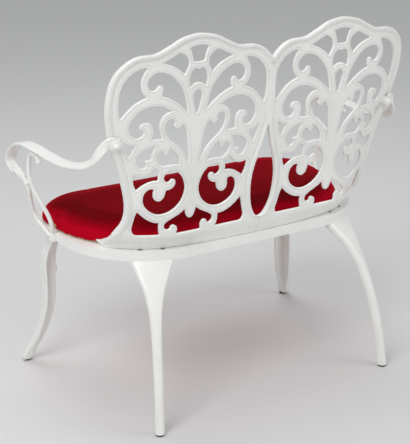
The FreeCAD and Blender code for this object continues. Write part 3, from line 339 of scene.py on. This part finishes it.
def cast_panel():
    piece = copy_of("back_panel_left", "scroll_casting_left")
    walls = wall_places(piece)
    apply_modifier(piece, "REMESH", mode="VOXEL", voxel_size=CAST_VOXEL)
    place = vertex_array(piece)
    normals = np.empty(len(place) * 3)
    piece.data.vertices.foreach_get("normal", normals)
    normals = normals.reshape(-1, 3)
    on_face = np.abs(normals[:, 1]) > FACE_TILT
    distance = np.full(len(place), FAR_OFF)
    for index in np.nonzero(on_face)[0]:
        distance[index] = walls.find(Vector((place[index, 0], 0, place[index, 2])))[2]
    edge = np.clip(1 - distance / EDGE_ROUND, 0, 1) ** 2 * EDGE_DROP
    line = np.exp(-((distance - LINE_PLACE) / LINE_WIDTH) ** 2) * (place[:, 2] > LINE_LOW)
    set_vertices(piece, place - normals * (edge + line * LINE_DEPTH)[:, None])
    # The line's strength is also stored for the enamel, which paints shade along it.
    shade = piece.data.attributes.new(LINE_SHADE, "FLOAT", "POINT")
    shade.data.foreach_set("value", line)
    apply_modifier(piece, "SMOOTH", factor=SMOOTHING, iterations=1)
    shade_smooth(piece)
    return piece


# Front legs: leaves stand out along the corner and on the inner flange. A leaf is its height
# above the floor, its half span and how proud it stands.
LEG_VOXEL = 1.6 * MM
LEAF_REACH = 9 * MM
SLICE = 2 * MM
CORNER_LEAVES = [(0.318, 0.020, 2.5 * MM), (0.273, 0.008, 4.5 * MM), (0.240, 0.012, 2.5 * MM),
                 (0.221, 0.006, 3.5 * MM), (0.196, 0.010, 2.0 * MM), (0.172, 0.006, 4.0 * MM)]
FLANGE_LEAVES = [(0.300, 0.014, 3.0 * MM), (0.273, 0.008, 4.5 * MM)]


def leaf_push(place, along, leaves, direction):
    """Pushes what lies furthest along a direction, by the leaves' swelling at each height."""
    slices = (place[:, 2] / SLICE).astype(int)
    furthest = np.full(slices.max() + 1, -FAR_OFF)
    np.maximum.at(furthest, slices, along)
    near = np.clip(1 - (furthest[slices] - along) / LEAF_REACH, 0, 1)
    swell = np.zeros(len(place))
    for height, span, proud in leaves:
        swell += proud * np.exp(-((place[:, 2] - height) / span) ** 2)
    return place + np.outer(swell * near, direction)


def leafed_leg():
    piece = copy_of("front_leg_left", "carved_leg_left")
    apply_modifier(piece, "REMESH", mode="VOXEL", voxel_size=LEG_VOXEL)
    place = vertex_array(piece)
    half = math.sqrt(0.5)
    place = leaf_push(place, (place[:, 0] - place[:, 1]) * half, CORNER_LEAVES, (half, -half, 0.0))
    place = leaf_push(place, -place[:, 0], FLANGE_LEAVES, (-1.0, 0.0, 0.0))
    set_vertices(piece, place)
    apply_modifier(piece, "SMOOTH", factor=SMOOTHING, iterations=3)
    shade_smooth(piece)
    return piece


def mirrored_copy(piece, name):
    other = piece.copy()
    other.data = piece.data.copy()
    other.name = name
    other.data.name = name
    bpy.context.scene.collection.objects.link(other)
    place = vertex_array(other)
    place[:, 0] *= -1
    set_vertices(other, place)
    other.data.flip_normals()
    return other


def declare(piece, node_name):
    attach(piece, "root")
    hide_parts(node_name)
    paint(piece, "white_paint")


# The seat: foam and board wrapped in one skin, blown up a little as cloth.
SEAT_VOXEL = 5 * MM
SEAT_ROUNDS = 30
SEAT_CAP = 7 * MM
SEAT_STEPS = 20
SEAT_PRESSURE = 4.0
SEAT_PROUD = 4 * MM
WRAP = 2.5 * MM
HEM = 12 * MM
EDGE_BAND = 12 * MM
CROWN_BLEND = 12 * MM
HEM_ROUNDS = 2
TINY = 1e-9


def swollen(piece, start):
    """Where a few steps of pressure take each vertex, as far as the cap lets it."""
    cloth = piece.modifiers.new("cloth", "CLOTH")
    cloth.settings.use_pressure = True
    cloth.settings.uniform_pressure_force = SEAT_PRESSURE
    cloth.settings.effector_weights.gravity = 0.0
    cloth.point_cache.frame_end = SEAT_STEPS
    scene = bpy.context.scene
    for step in range(1, SEAT_STEPS + 1):
        scene.frame_set(step)
    graph = bpy.context.evaluated_depsgraph_get()
    blown = piece.evaluated_get(graph).to_mesh()
    after = np.empty(len(blown.vertices) * 3)
    blown.vertices.foreach_get("co", after)
    piece.modifiers.remove(cloth)
    scene.frame_set(1)
    move = after.reshape(-1, 3) - start
    length = np.linalg.norm(move, axis=1)
    capped = SEAT_CAP * np.tanh(length / SEAT_CAP)
    return start + move * (capped / np.maximum(length, TINY))[:, None]


def outside_of(place, board, top):
    """Moves the skin's lowest band out past the edge of the board that it wraps."""
    outline = KDTree(len(board.data.vertices))
    for vertex in board.data.vertices:
        outline.insert((vertex.co.x, vertex.co.y, 0), vertex.index)
    outline.balance()
    middle = place.mean(axis=0)
    for index in np.nonzero(place[:, 2] < top + CROWN_BLEND)[0]:
        x, y, z = place[index]
        edge, _, distance = outline.find((x, y, 0))
        if distance < EDGE_BAND:
            outward = Vector((edge.x - middle[0], edge.y - middle[1], 0)).normalized()
            goal = edge + outward * WRAP
            gap = (goal.x - x) * outward.x + (goal.y - y) * outward.y
            if gap > 0:
                share = min(1.0, (top + CROWN_BLEND - z) / CROWN_BLEND)
                place[index, 0] += outward.x * gap * share
                place[index, 1] += outward.y * gap * share
    return place


def velvet_seat():
    low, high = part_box("seat_cover")
    board = copy_of("seat_board", "board_copy")
    piece = copy_of("seat_foam", "velvet_seat")
    mesh = bmesh.new()
    mesh.from_mesh(piece.data)
    mesh.from_mesh(board.data)
    mesh.to_mesh(piece.data)
    mesh.free()
    bpy.data.objects.remove(board, do_unlink=True)
    apply_modifier(piece, "REMESH", mode="VOXEL", voxel_size=SEAT_VOXEL)
    crown = piece.vertex_groups.new(name="crown")
    for vertex in piece.data.vertices:
        share = (vertex.co.z - low[2] - HEM) / CROWN_BLEND
        crown.add([vertex.index], min(1.0, max(0.0, share)), "REPLACE")
    apply_modifier(piece, "SMOOTH", factor=SMOOTHING, iterations=SEAT_ROUNDS, vertex_group="crown")
    apply_modifier(piece, "SMOOTH", factor=SMOOTHING, iterations=HEM_ROUNDS)
    apply_modifier(piece, "DISPLACE", strength=WRAP, mid_level=0.0)
    place = vertex_array(piece)
    place = swollen(piece, place)
    place = outside_of(place, frame["nodes"]["seat_board"], low[2] + HEM)
    place[:, 0] = np.clip(place[:, 0], low[0], high[0])
    place[:, 1] = np.clip(place[:, 1], low[1], high[1])
    place[:, 2] = np.clip(place[:, 2], low[2], high[2] + SEAT_PROUD)
    set_vertices(piece, place)
    apply_modifier(piece, "SUBSURF", levels=1, render_levels=1)
    shade_smooth(piece)
    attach(piece, "root")
    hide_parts("seat_cover", "seat_foam")
    paint(piece, "velvet")


# Studio: a wide pale floor under an even pale sky, and large soft lamps. A lamp is its name,
# place, the height that it aims at, its width in metres and its power in watts.
FLOOR_SIZE = 30.0
FLOOR_COLOUR = (0.72, 0.72, 0.72, 1.0)
SKY_COLOUR = (0.80, 0.81, 0.82, 1.0)
SKY_STRENGTH = 0.60
LAMPS = [
    ("key_lamp", (2.6, 1.6, 3.2), 0.5, 2.2, 70.0),
    ("fill_lamp", (-2.6, 3.0, 2.2), 0.5, 2.5, 32.0),
    ("top_lamp", (0.0, -1.5, 3.6), 0.4, 2.5, 30.0),
]


def add_floor():
    bpy.ops.mesh.primitive_plane_add(size=FLOOR_SIZE, location=(0, 0, 0))
    floor = bpy.context.object
    floor.name = "studio_floor"
    material, tree, shader = new_material("studio_floor")
    shader.inputs["Base Color"].default_value = FLOOR_COLOUR
    shader.inputs["Roughness"].default_value = 0.9
    floor.data.materials.append(material)


def add_lamp(name, place, aim, size, power):
    data = bpy.data.lights.new(name, "AREA")
    data.shape = "DISK"
    data.size = size
    data.energy = power
    lamp = bpy.data.objects.new(name, data)
    bpy.context.scene.collection.objects.link(lamp)
    lamp.location = place
    lamp.rotation_euler = (Vector(place) - Vector((0, 0, aim))).to_track_quat("Z", "Y").to_euler()


def add_light():
    world = bpy.data.worlds.new("studio")
    bpy.context.scene.world = world
    world.use_nodes = True
    background = world.node_tree.nodes["Background"]
    background.inputs["Color"].default_value = SKY_COLOUR
    background.inputs["Strength"].default_value = SKY_STRENGTH
    for lamp in LAMPS:
        add_lamp(*lamp)


add_camera()
paint_nodes()
left_casting = cast_panel()
right_casting = mirrored_copy(left_casting, "scroll_casting_right")
declare(left_casting, "back_panel_left")
declare(right_casting, "back_panel_right")
left_leg = leafed_leg()
right_leg = mirrored_copy(left_leg, "carved_leg_right")
declare(left_leg, "front_leg_left")
declare(right_leg, "front_leg_right")
velvet_seat()
add_floor()
add_light()
bpy.context.scene.view_settings.view_transform = "Standard"
